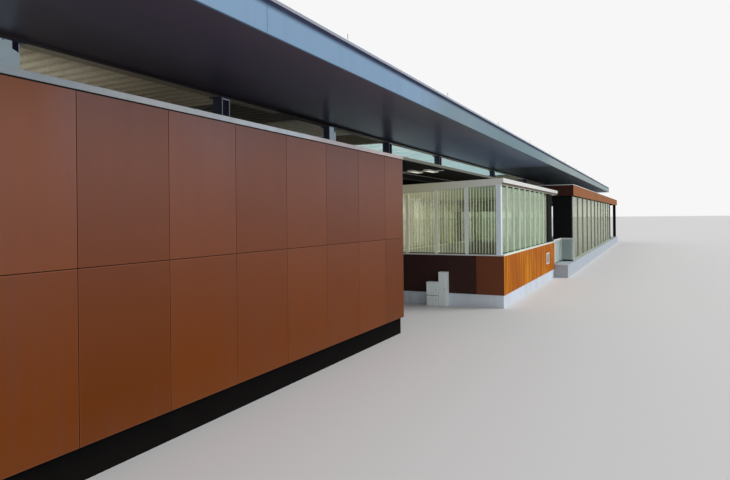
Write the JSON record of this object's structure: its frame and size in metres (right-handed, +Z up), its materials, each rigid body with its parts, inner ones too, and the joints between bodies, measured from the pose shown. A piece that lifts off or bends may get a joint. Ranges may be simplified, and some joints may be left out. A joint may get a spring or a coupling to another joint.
{
  "type": "modern railway station building, 1:2 scale model",
  "caption": "Long low station building at half size: rust-clad office block, open concourse, glazed waiting box and open hall under one floating flat roof.",
  "frame": {"origin": "ground level under the middle of the whole outline", "axes": "+X along the track from the office block to the hall, -Y faces the track, +Z up"},
  "size_m": [32.525, 5.73, 2.65],
  "materials": {
    "rust_panel": "rust-coloured smooth panel, satin",
    "anthracite": "dark grey coated sheet, satin",
    "rust_parapet": "rust-coloured smooth panel, satin",
    "black_base": "black coated plinth, matt",
    "plaster": "plain render, matt",
    "concrete": "smooth concrete, matt",
    "dark_door": "dark painted steel, satin",
    "pale_metal": "pale grey-blue coated sheet, satin",
    "dark_sheet": "dark coated sheet, semi-gloss",
    "black_steel": "black painted steel, satin",
    "lamp": "opal diffuser",
    "inner_steel": "primed steel, matt",
    "membrane": "roofing membrane, matt",
    "galvanised": "galvanised deck, dull",
    "white_metal": "white coated aluminium, satin",
    "clear_glass": "clear glass, faintly green",
    "cabinet": "pale grey cabinet, matt"
  },
  "bodies": {
    "root": {"block_plinth": "black_base", "block_floor": "concrete", "block_track_wall": "plaster", "block_rear_wall": "plaster", "block_end_wall": "plaster", "block_concourse_wall": "plaster", "block_track_panels": "rust_panel", "block_rear_panels": "rust_panel", "block_end_panels": "rust_panel", "block_door": "dark_door", "block_roof_slab": "concrete", "block_coping": "pale_metal", "canopy_slab": "dark_sheet", "low_roof_edges": "pale_metal", "canopy_beams": "black_steel", "canopy_columns": "black_steel", "canopy_lights": "lamp", "stub_columns": "black_steel", "roof_beams": "black_steel", "roof_edge_frame": "inner_steel", "soffit_sheets": "dark_sheet", "roof_fascia": "pale_metal", "roof_cover": "membrane", "roof_capping": "anthracite", "ribbed_deck": "galvanised", "rooflight_frame": "white_metal", "rooflight_glass": "clear_glass", "box_plinth": "concrete", "box_floor": "concrete", "box_parapet": "plaster", "box_panels": "rust_parapet", "box_frame": "white_metal", "box_glass": "clear_glass", "box_end_pier": "black_steel", "box_end_frame": "white_metal", "box_roof": "white_metal", "service_cabinets": "cabinet", "balustrade_posts": "pale_metal", "balustrade_glass": "clear_glass", "platform_floor": "concrete", "hall_columns": "black_steel", "hall_fascia": "rust_panel", "hall_roof_slab": "dark_sheet", "hall_screen_frames": "pale_metal", "hall_screen_glass": "clear_glass"}
  },
  "joints": []
}
